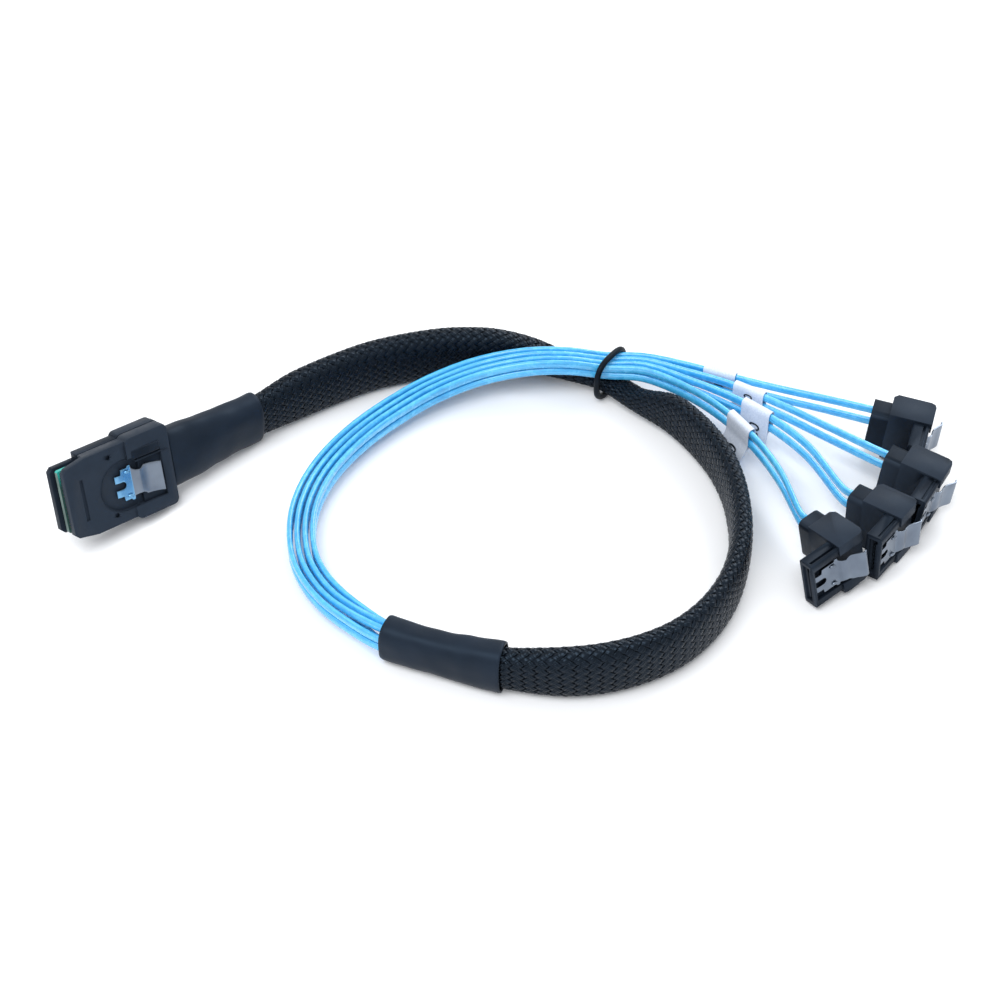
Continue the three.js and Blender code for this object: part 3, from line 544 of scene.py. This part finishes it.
def braid(direction):
    """Sixteen ribbons of three filaments wound one way, passing over and under the others."""
    route = [behind_host(*SLEEVE_START)] + TRUNK_ROUTE
    centres, length = even([row[:3] for row in route], 0.7)
    sizes = sizes_at(route, len(centres))
    across, top = sides_of(centres, sizes[:, 2])
    at = np.linspace(0, length, len(centres))
    round_count = 192
    unit = oval(round_count, SLEEVE_FULLNESS)
    mid = np.empty((len(centres), round_count, 2))
    for i, (width, height, _) in enumerate(sizes):
        ring = unit * [width / 2 - RIBBON_DEPTH, height / 2 - RIBBON_DEPTH]
        gaps = np.linalg.norm(np.roll(ring, -1, 0) - ring, axis=1)
        run = np.concatenate([[0], np.cumsum(gaps)]) / gaps.sum()
        wrapped = np.vstack([ring, ring[:1]])
        even_at = np.arange(round_count) / round_count
        mid[i] = np.stack([np.interp(even_at, run, wrapped[:, k]) for k in (0, 1)], 1)
    out = np.roll(mid, -1, 1) - np.roll(mid, 1, 1)
    normal = np.stack([out[..., 1], -out[..., 0]], -1)
    normal /= np.linalg.norm(normal, axis=-1)[..., None]

    girth = length_round(mid)
    slope = direction * math.atan2(girth, TURN)
    along = np.arange(0.2, length - 0.2, 0.45)
    verts = []
    quads = []
    for k in range(CARRIERS):
        phase = (k + 0.25) / CARRIERS + direction * along / TURN
        # crossings come twice as often as carriers, because the others run against these
        crossing = 2 * along * CARRIERS / TURN
        wave = np.cos(np.pi * crossing) * direction
        wave = np.sign(wave) * np.abs(wave) ** 0.7
        base = k * len(along) * len(LOBES)
        for lobe_x, lobe_y in LOBES:
            shift = lobe_x * RIBBON * math.cos(slope) / girth
            step = -lobe_x * RIBBON * math.sin(slope)
            s = np.clip(along + step, 0, length)
            u = (phase + shift) % 1
            place, out_dir = surface(centres, across, top, at, mid, normal, s, u)
            verts.append(place + out_dir * (wave * WEAVE + lobe_y)[:, None])
        block = np.arange(len(along) - 1)[:, None]
        column = np.arange(len(LOBES))[None, :]
        nxt = (column + 1) % len(LOBES)
        n = len(along)
        faces = np.stack([base + column * n + block, base + nxt * n + block,
                          base + nxt * n + block + 1, base + column * n + block + 1], -1)
        quads.append(faces.reshape(-1, 4))
    name = "braid_right" if direction > 0 else "braid_left"
    points = (np.vstack(verts) - np.array(HOME)) * MM
    mesh = bpy.data.meshes.new(name)
    faces = np.vstack(quads)
    if direction < 0:
        faces = faces[:, ::-1]
    mesh.from_pydata(points.tolist(), [], faces.tolist())
    mesh.shade_smooth()
    obj = bpy.data.objects.new(name, mesh)
    bpy.context.scene.collection.objects.link(obj)
    return obj, centres, length


def length_round(mid):
    ring = mid[len(mid) // 5]
    return float(np.linalg.norm(np.roll(ring, -1, 0) - ring, axis=1).sum())


def surface(centres, across, top, at, mid, normal, s, u):
    """Points and outward directions on the sleeve, at lengths s and shares u round it."""
    count = mid.shape[1]
    i = np.clip(np.searchsorted(at, s) - 1, 0, len(at) - 2)
    f = ((s - at[i]) / (at[i + 1] - at[i]))[:, None]
    j = (u * count).astype(int) % count
    g = (u * count - np.floor(u * count))[:, None]
    nj = (j + 1) % count

    def blend(table):
        low = table[i, j] * (1 - g) + table[i, nj] * g
        high = table[i + 1, j] * (1 - g) + table[i + 1, nj] * g
        return low * (1 - f) + high * f

    flat = blend(mid)
    out = blend(normal)
    side = across[i] * (1 - f) + across[i + 1] * f
    up = top[i] * (1 - f) + top[i + 1] * f
    centre = centres[i] * (1 - f) + centres[i + 1] * f
    place = centre + side * flat[:, :1] + up * flat[:, 1:]
    return place, side * out[:, :1] + up * out[:, 1:]


braid_right, trunk_centres, trunk_length = braid(1)
braid_left, _, _ = braid(-1)
give(braid_right, BRAID)
give(braid_left, BRAID)
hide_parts("braided_sleeve")
dress("trunk_wires", FOIL)


# Heat-shrink sleeves over both ends of the braid

def shrink_sleeve(name, route, node, bumps):
    centres, length = even([row[:3] for row in route], 0.35)
    sizes = sizes_at(route, len(centres))
    across, top = sides_of(centres, sizes[:, 2])
    at = np.linspace(0, length, len(centres))
    unit = oval(64, SLEEVE_FULLNESS)
    angle = np.arctan2(unit[:, 1], unit[:, 0])
    wall = SHRINK_WALL
    swell = np.zeros(len(centres))
    for where, reach, rise in bumps:
        swell += rise * np.exp(-(((at - where) / reach) ** 2))
    ripple = 0.05 * np.sin(at * 0.9)[:, None] * np.cos(angle * 3)[None, :]
    ripple += 0.04 * np.sin(at * 0.37 + 1)[:, None] * np.cos(angle * 5 + 0.7)[None, :]

    def ring(i, inset):
        half = sizes[i, :2] / 2 - inset + swell[i]
        flat = unit * (half[None, :] + (ripple[i][:, None] if inset < 0.3 else 0))
        return centres[i] + across[i] * flat[:, :1] + top[i] * flat[:, 1:]

    last = len(centres) - 1
    rings = [ring(0, wall), ring(0, wall * 0.5 + 0.12), ring(0, 0.14)]
    rings += [ring(i, 0.04 if i in (1, last - 1) else 0.0) for i in range(1, last)]
    rings += [ring(last, 0.14), ring(last, wall * 0.5 + 0.12), ring(last, wall)]
    rings += [ring(i, wall) for i in range(last - 1, 0, -1)]
    rings = np.array(rings)[:, ::-1]
    obj = loft(name, rings, looped=True)
    give(obj, SHRINK)
    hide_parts(node)


HOST_SHRINK = [behind_host(0, 7.4, 15.2), behind_host(6, 7.4, 14.4)] + HOST_SHRINK_ROUTE
shrink_sleeve("host_shrink", HOST_SHRINK, "plug_heatshrink", [(17, 2.5, 0.12), (7, 3, 0.1)])
shrink_sleeve("breakout_shrink", BREAKOUT_SHRINK_ROUTE, "breakout_heatshrink",
              [(9, 2.5, 0.14), (24, 3, 0.06)])


# Flat wires

def strand(number, row, letter):
    points = strand_points(number, row)
    centres, length = even(points, 0.6)
    across, top = sides_of(centres)
    at = np.linspace(0, length, len(centres))
    unit = oval(20, WIRE_FULLNESS) * [STRAND_WIDTH / 2, STRAND_HEIGHT / 2]
    seed = number * 2.1 + row
    # hand-laid wires lean and swim a little between the places that hold them
    hold = np.clip(np.minimum(at - 18, length - 4 - at) / 12, 0, 1)
    tilt = np.radians(5) * np.sin(at / 17 + seed) * hold
    rings = []
    for i in range(len(centres)):
        side = across[i] * math.cos(tilt[i]) + top[i] * math.sin(tilt[i])
        up = top[i] * math.cos(tilt[i]) - across[i] * math.sin(tilt[i])
        swell = 1 + 0.012 * math.sin(at[i] * 1.7 + seed)
        rings.append(centres[i] + side * unit[:, :1] * swell + up * unit[:, 1:] * swell)
    name = "wire_%d%s" % (number, letter)
    obj = loft(name, rings, lengths=at)
    give(obj, FOIL)
    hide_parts("strand_%d%s" % (number, letter))
    return obj, centres, length


for number in DRIVES:
    strand(number, 1, "a")
    strand(number, -1, "b")


# Rubber ring that ties the wires to the sleeve

RING_UP = 5.55
RING_ACROSS = 5.9
RING_CORD = 1.5
RING_PLACE = (27.4, 38.4, 6.35)
RING_YAW = math.radians(-36)


def tie_ring():
    rings = []
    for i in range(128):
        angle = 2 * math.pi * i / 128
        c, s = math.cos(angle), math.sin(angle)
        square = (abs(c) ** 3 + abs(s) ** 3) ** (-1 / 3)
        ring = []
        for j in range(20):
            a = 2 * math.pi * j / 20
            radius = RING_UP * square + RING_CORD / 2 * math.cos(a)
            ring.append((RING_CORD / 2 * math.sin(a), radius * c * RING_ACROSS / RING_UP, radius * s))
        rings.append(ring)
    turn = Matrix.Translation(RING_PLACE) @ Matrix.Rotation(RING_YAW, 4, "Z")
    rings = [[tuple(turn @ Vector(p)) for p in ring] for ring in rings]
    obj = loft("rubber_ring", rings, looped=True)
    give(obj, RUBBER)
    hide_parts("tie_ring")


tie_ring()


# Pieces shaped in a plug's own axes, in millimetres

def apply(obj, kind, **props):
    """One modifier, set and applied."""
    bpy.context.view_layer.objects.active = obj
    modifier = obj.modifiers.new(kind.lower(), kind)
    for key, value in props.items():
        setattr(modifier, key, value)
    bpy.ops.object.modifier_apply(modifier=modifier.name)


def settle(obj, place):
    """Moves a piece from the axes it was shaped in to its place in the frame."""
    obj.data.transform(obj.matrix_basis)
    obj.matrix_basis = Matrix()
    obj.data.transform(Matrix.Scale(MM, 4) @ Matrix.Translation(-HOME) @ place)
    obj.select_set(False)
    return obj


def cut(obj, tool):
    apply(obj, "BOOLEAN", operation="DIFFERENCE", object=tool, solver="EXACT")
    bpy.data.objects.remove(tool, do_unlink=True)


def join(obj, others):
    bpy.ops.object.select_all(action="DESELECT")
    for other in others:
        other.select_set(True)
    obj.select_set(True)
    bpy.context.view_layer.objects.active = obj
    bpy.ops.object.join()
    obj.select_set(False)
    return obj


def block(low, high, round_by=0.2, segments=3):
    """A box between two corners, with rounded edges."""
    bpy.ops.mesh.primitive_cube_add(size=1)
    obj = bpy.context.object
    size = Vector(high) - Vector(low)
    obj.data.transform(Matrix.Translation((Vector(high) + Vector(low)) / 2) @ Matrix.Diagonal((*size, 1)))
    if round_by:
        apply(obj, "BEVEL", width=round_by, segments=segments)
        bpy.ops.object.shade_smooth_by_angle(angle=math.radians(35))
    return obj


# Sprung latches of sheet steel

BARB_HALF = (0.8, 0.34, 0.42)


def sprung_leaf(name, place, centre_z, profile, widths, notch, sheet, barb):
    """A flat strip cut to its plan and given its thickness, then bent along a smooth profile."""
    line, length = even([[x, y, 0] for x, y in profile], 0.05)
    run = np.linspace(0, length, len(line))
    lead = np.gradient(line, axis=0)
    lead /= np.linalg.norm(lead, axis=1)[:, None]
    plan_x, plan_half = np.array(widths).T
    bpy.ops.mesh.primitive_grid_add(x_subdivisions=120, y_subdivisions=12, size=2)
    leaf = bpy.context.object
    leaf.name = name
    for vertex in leaf.data.vertices:
        s = (vertex.co.x + 1) / 2 * length
        half = np.interp(-np.interp(s, run, line[:, 0]), -plan_x, plan_half)
        vertex.co = (s, vertex.co.y * half, 0)
    apply(leaf, "SOLIDIFY", thickness=sheet, offset=0)
    root, radius = notch
    depth = (profile[0][0] - root)
    cut(leaf, block((-1, -radius, -1), (depth, radius, 1), 0))
    bpy.ops.mesh.primitive_cylinder_add(vertices=32, radius=radius, depth=2, location=(depth, 0, 0))
    cut(leaf, bpy.context.object)
    apply(leaf, "BEVEL", width=0.06, segments=2, limit_method="ANGLE", angle_limit=math.radians(45))
    for vertex in leaf.data.vertices:
        s, z, out = vertex.co
        x, y = (np.interp(s, run, line[:, k]) for k in (0, 1))
        lead_x, lead_y = (np.interp(s, run, lead[:, k]) for k in (0, 1))
        vertex.co = (x + lead_y * out, y - lead_x * out, centre_z + z)
    barb_x, barb_y, barb_z = barb
    nubs = []
    for side in (1, -1):
        bpy.ops.mesh.primitive_uv_sphere_add(segments=20, ring_count=12, radius=1)
        nub = bpy.context.object
        lifted = Matrix.Rotation(math.radians(-12), 4, "Z") @ Matrix.Diagonal((*BARB_HALF, 1))
        nub.data.transform(Matrix.Translation((barb_x, barb_y, centre_z + side * barb_z)) @ lifted)
        nubs.append(nub)
    join(leaf, nubs)
    bpy.ops.object.select_all(action="DESELECT")
    leaf.select_set(True)
    bpy.ops.object.shade_smooth_by_angle(angle=math.radians(40))
    settle(leaf, place)
    return leaf


def blue_front(leaf, place, from_x):
    """The leaf that lies in the housing mirrors it in a cooler tone than the tab: a painted reflection,
    given as a bluer base colour on its faces.
    """
    leaf.data.materials.append(STEEL_WITH_PAINTED_REFLECTION)
    back = (Matrix.Scale(MM, 4) @ Matrix.Translation(-HOME) @ place).inverted()
    for face in leaf.data.polygons:
        if (back @ face.center).x > from_x:
            face.material_index = 1


def host_latch():
    y = 2.72
    profile = [
        (-12.8, y - 0.25), (-13.6, y - 0.05), (-14.8, y), (-16.4, y), (-17.2, y + 0.1), (-17.9, y + 0.75),
        (-18.8, y + 1.15), (-19.8, y + 1.15), (-21, y + 1.35), (-22.4, y + 1.95), (-23.3, y + 2.5),
        (-23.8, y + 3),
    ]
    widths = [
        (-12.8, 2.7), (-14.35, 2.7), (-14.45, 3.95), (-16.2, 3.95), (-16.4, 4.4), (-17.1, 4.4),
        (-17.3, 3.5), (-18, 3.05), (-19, 2.95), (-19.6, 3.3), (-20, 3.7), (-23.8, 3.7),
    ]
    leaf = sprung_leaf("host_latch", HOST, -0.8, profile, widths, (-14.5, 0.95), 0.35, (-16, 3.1, 3.05))
    give(leaf, STEEL, "plug_latch")
    blue_front(leaf, HOST, -17.1)
    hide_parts("plug_latch")


def drive_latch(number):
    y = -0.7
    profile = [
        (15, y - 0.15), (14.2, y - 0.03), (13, y), (9.4, y), (8.3, y + 0.1), (7.5, y + 0.75),
        (6.6, y + 1.15), (5.6, y + 1.2), (4.4, y + 1.75), (3.2, y + 2.6), (2.4, y + 2.95), (1.8, y + 2.7),
    ]
    widths = [
        (15, 2.3), (12.95, 2.3), (12.85, 3.4), (9.2, 3.4), (9, 3.95), (8.3, 3.95),
        (8.1, 3.3), (7.4, 3.05), (6.4, 2.95), (5.8, 3.3), (5.3, 3.6), (1.8, 3.6),
    ]
    leaf = sprung_leaf("drive_latch_%d" % number, DRIVES[number], 0, profile, widths,
                       (12.7, 0.85), 0.3, (9.8, -0.32, 2.6))
    give(leaf, STEEL, "sata_latch_%d" % number)
    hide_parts("sata_latch_%d" % number)


host_latch()
for number in DRIVES:
    drive_latch(number)


# Rounded copies of the moulded housings

def rounded_copy(node, name, width, angle=30):
    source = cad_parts[node]
    obj = bpy.data.objects.new(name, source.data.copy())
    bpy.context.scene.collection.objects.link(obj)
    bpy.context.view_layer.objects.active = obj
    obj.select_set(True)
    bpy.ops.object.mode_set(mode="EDIT")
    bpy.ops.mesh.select_all(action="SELECT")
    bpy.ops.mesh.remove_doubles(threshold=0.000004)
    bpy.ops.mesh.dissolve_limited(angle_limit=math.radians(2))
    bpy.ops.mesh.select_all(action="SELECT")
    bpy.ops.mesh.normals_make_consistent(inside=False)
    bpy.ops.object.mode_set(mode="OBJECT")
    bevel = obj.modifiers.new("bevel", "BEVEL")
    bevel.width = width * MM
    bevel.segments = 3
    bevel.limit_method = "ANGLE"
    bevel.angle_limit = math.radians(angle)
    bevel.use_clamp_overlap = True
    bevel.harden_normals = True
    bpy.ops.object.modifier_apply(modifier="bevel")
    bpy.ops.object.shade_smooth_by_angle(angle=math.radians(35))
    for modifier in list(obj.modifiers):
        bpy.ops.object.modifier_apply(modifier=modifier.name)
    obj.select_set(False)
    return obj


for node, name in (("plug_latch_shell", "host_latch_shell"), ("plug_back_shell", "host_back_shell")):
    give(rounded_copy(node, name, 0.28), HOUSING)
    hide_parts(node)
def host_details():
    """Filled rear of the latch pocket, ramp, rib, pocket rim and two dimples on the latch shell."""
    shell = bpy.data.objects["host_latch_shell"]
    inward = (Matrix.Scale(MM, 4) @ Matrix.Translation(-HOME) @ HOST).inverted()
    shell.data.transform(inward)
    for x, z in ((-11.9, 7.5), (-11.5, -7.2)):
        bpy.ops.mesh.primitive_cylinder_add(vertices=24, radius=0.55, depth=0.9, location=(x, 3.1, z),
                                            rotation=(math.radians(90), 0, 0))
        cut(shell, bpy.context.object)
    floor = block((-26, 2, -7.3), (-19.3, 3.0, 5.7), 0.15)
    ramp_ = block((-25.2, 3.3, 4.9), (-17.6, 4.15, 7), 0.3)
    for vertex in ramp_.data.vertices:
        if vertex.co.x > -19:
            vertex.co.y = min(vertex.co.y, 3.75)
    rib = block((-27.4, 3.4, 4.1), (-18.2, 3.86, 4.45), 0.1)
    bpy.ops.mesh.primitive_torus_add(
        major_radius=6.3, minor_radius=0.13, major_segments=96, minor_segments=10,
        location=(-14.8, 3.12, -0.8), rotation=(math.radians(90), 0, 0))
    rim = bpy.context.object
    cut(rim, block((-30, 0, -12), (-17.6, 8, 12), 0))
    join(shell, [floor, ramp_, rib, rim])
    bpy.ops.object.select_all(action="DESELECT")
    shell.select_set(True)
    bpy.context.view_layer.objects.active = shell
    bpy.ops.object.shade_smooth_by_angle(angle=math.radians(35))
    settle(shell, HOST)
    for i in range(len(shell.data.materials)):
        shell.data.materials[i] = HOUSING


host_details()
for number in DRIVES:
    name = "drive_shell_%d" % number
    give(rounded_copy("sata_body_%d" % number, name, 0.35), HOUSING)
    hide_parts("sata_body_%d" % number)
    dress("sata_contact_block_%d" % number, INSULATOR)
dress("plug_potting", POTTING)


# Card edge: solder mask on its faces, bare glass fibre at its front, gold on its pads

def dress_card():
    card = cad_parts["paddle_card"].data
    dress("paddle_card", BOARD)
    card.materials.append(GOLD)
    card.materials.append(GLASS_FIBRE)
    back = (Matrix.Scale(MM, 4) @ Matrix.Translation(-HOME) @ HOST).inverted()
    for face in card.polygons:
        spot = back @ face.center
        if abs(spot.y) > 0.54:
            face.material_index = 1
        elif spot.x > 0.05:
            face.material_index = 2


dress_card()


# Paper flags: share of the way from the tie, lower end of the tail and its lean, height of the number

FLAGS = {
    1: (0.7, -9, 3.9, -5.9),
    2: (0.71, -7.6, 0.8, -4),
    3: (0.63, -4.2, 0.2, 0),
    4: (0.53, -2.9, 0.05, 0),
}


FLAG_HALF_LENGTH = 4.1
PAPER_THICKNESS = 0.12


def paper_flag(number):
    """Label paper folded round a pair, stuck to itself below, with its tail hanging."""
    share, bottom, lean, mark_z = FLAGS[number]
    line, length = even([BUNDLE_ROUTE[-1][:3]] + fan_line(number), 0.1)
    i = int(round(share * (len(line) - 1)))
    along = Vector(line[i + 1] - line[i - 1]).normalized()
    turn = Euler((0, -math.asin(along.z), math.atan2(along.y, along.x)), "XYZ").to_matrix().to_4x4()
    place = Matrix.Translation(Vector(line[i])) @ turn
    half = STRAND_WIDTH / 2 + 0.36
    tall = TIE_LANES["row"] + (BOOT_ROW - TIE_LANES["row"]) * share + STRAND_HEIGHT / 2 + 0.34
    drop = -tall - bottom
    fold = [
        (0, -half - lean + 0.24, bottom + 0.06), (0, -half - lean * 0.4 + 0.24, bottom + drop * 0.6),
        (0, -half + 0.3, -tall - 0.1), (0, -half * 0.2, -tall + 0.02), (0, half * 0.7, -tall + 0.12),
        (0, half, -tall + 0.8), (0, half, 0), (0, half, tall - 0.8), (0, half * 0.7, tall - 0.16),
        (0, 0, tall), (0, -half * 0.7, tall - 0.16), (0, -half, tall - 0.8), (0, -half, 0),
        (0, -half, -tall + 0.4), (0, -half - lean * 0.4, bottom + drop * 0.6), (0, -half - lean, bottom),
    ]
    path, span = even(fold, 0.12)
    run = np.linspace(0, span, len(path))
    bpy.ops.mesh.primitive_grid_add(x_subdivisions=14, y_subdivisions=90, size=2)
    flag = bpy.context.object
    flag.name = "paper_flag_%d" % number
    for vertex in flag.data.vertices:
        x = vertex.co.x * FLAG_HALF_LENGTH
        at = (vertex.co.y + 1) / 2 * span
        y, z = (np.interp(at, run, path[:, k]) for k in (1, 2))
        loose = min(max((-z - tall) / 6, 0), 1)
        vertex.co = (x, y + 0.22 * loose * math.sin(x * 0.5 + number), z)
    apply(flag, "SOLIDIFY", thickness=PAPER_THICKNESS, offset=0)
    bpy.ops.object.shade_smooth_by_angle(angle=math.radians(50))
    slant = math.atan2(lean, drop) if mark_z else 0
    down = Vector((0, -math.sin(slant), -math.cos(slant)))
    out = down.cross(Vector((1, 0, 0)))
    bpy.ops.object.text_add()
    mark = bpy.context.object
    mark.data.body = "%02d" % number
    mark.data.size = 4.4 if mark_z else 3.2
    mark.data.extrude = 0.02
    mark.data.offset = 0.03
    mark.data.align_x = "CENTER"
    mark.data.align_y = "CENTER"
    bpy.ops.object.convert(target="MESH")
    share_down = max((-tall - mark_z) / drop, 0) if mark_z else 0
    middle = Vector((0, -half - lean * share_down, mark_z)) + out * 0.24
    axes = Matrix((down, Vector((1, 0, 0)), out)).transposed().to_4x4()
    mark.data.transform(Matrix.Translation(middle) @ axes)
    mark.data.materials.clear()
    mark.data.materials.append(INK)
    flag.data.materials.append(PAPER)
    join(flag, [mark])
    settle(flag, place)
    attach(flag, "cable")
    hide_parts("label_flag_%d" % number)


for number in DRIVES:
    paper_flag(number)


# Stage, light and output

def set_stage():
    bpy.ops.mesh.primitive_plane_add(size=3, location=(0, 0, 0))
    floor = bpy.context.object
    floor.name = "floor"
    material, shader = new_material("pale_table", Roughness=0.9, Specular_IOR_Level=0.1)
    shader.inputs["Base Color"].default_value = srgb("#f6f8fb")
    floor.data.materials.append(material)
    floor.select_set(False)


def area(name, place, size, power, aim=(0, 0, 0)):
    data = bpy.data.lights.new(name, "AREA")
    data.shape = "RECTANGLE"
    data.size, data.size_y = size
    data.energy = power
    light = bpy.data.objects.new(name, data)
    light.location = place
    light.rotation_euler = (Vector(aim) - Vector(place)).to_track_quat("-Z", "Y").to_euler()
    bpy.context.scene.collection.objects.link(light)


def set_world():
    world = bpy.data.worlds.new("studio")
    bpy.context.scene.world = world
    world.use_nodes = True
    tree = world.node_tree
    path = tree.nodes.new("ShaderNodeLightPath")
    seen = tree.nodes.new("ShaderNodeMath")
    seen.operation = "MAXIMUM"
    tree.links.new(path.outputs["Is Camera Ray"], seen.inputs[0])
    also = tree.nodes.new("ShaderNodeMath")
    also.operation = "MAXIMUM"
    tree.links.new(path.outputs["Is Glossy Ray"], also.inputs[0])
    tree.links.new(path.outputs["Is Transmission Ray"], also.inputs[1])
    tree.links.new(also.outputs[0], seen.inputs[1])
    strength = tree.nodes.new("ShaderNodeMapRange")
    strength.inputs["To Min"].default_value = 0.75
    strength.inputs["To Max"].default_value = 1.0
    tree.links.new(seen.outputs[0], strength.inputs["Value"])
    back = tree.nodes["Background"]
    back.inputs["Color"].default_value = (1, 1, 1, 1)
    tree.links.new(strength.outputs["Result"], back.inputs["Strength"])


set_stage()
set_world()
area("key", (-0.25, -0.35, 0.75), (0.7, 0.5), 5.5)
area("rim", (0.35, 0.5, 0.5), (0.6, 0.3), 3)
bpy.context.scene.view_settings.view_transform = "Standard"
bpy.context.scene.view_settings.look = "None"
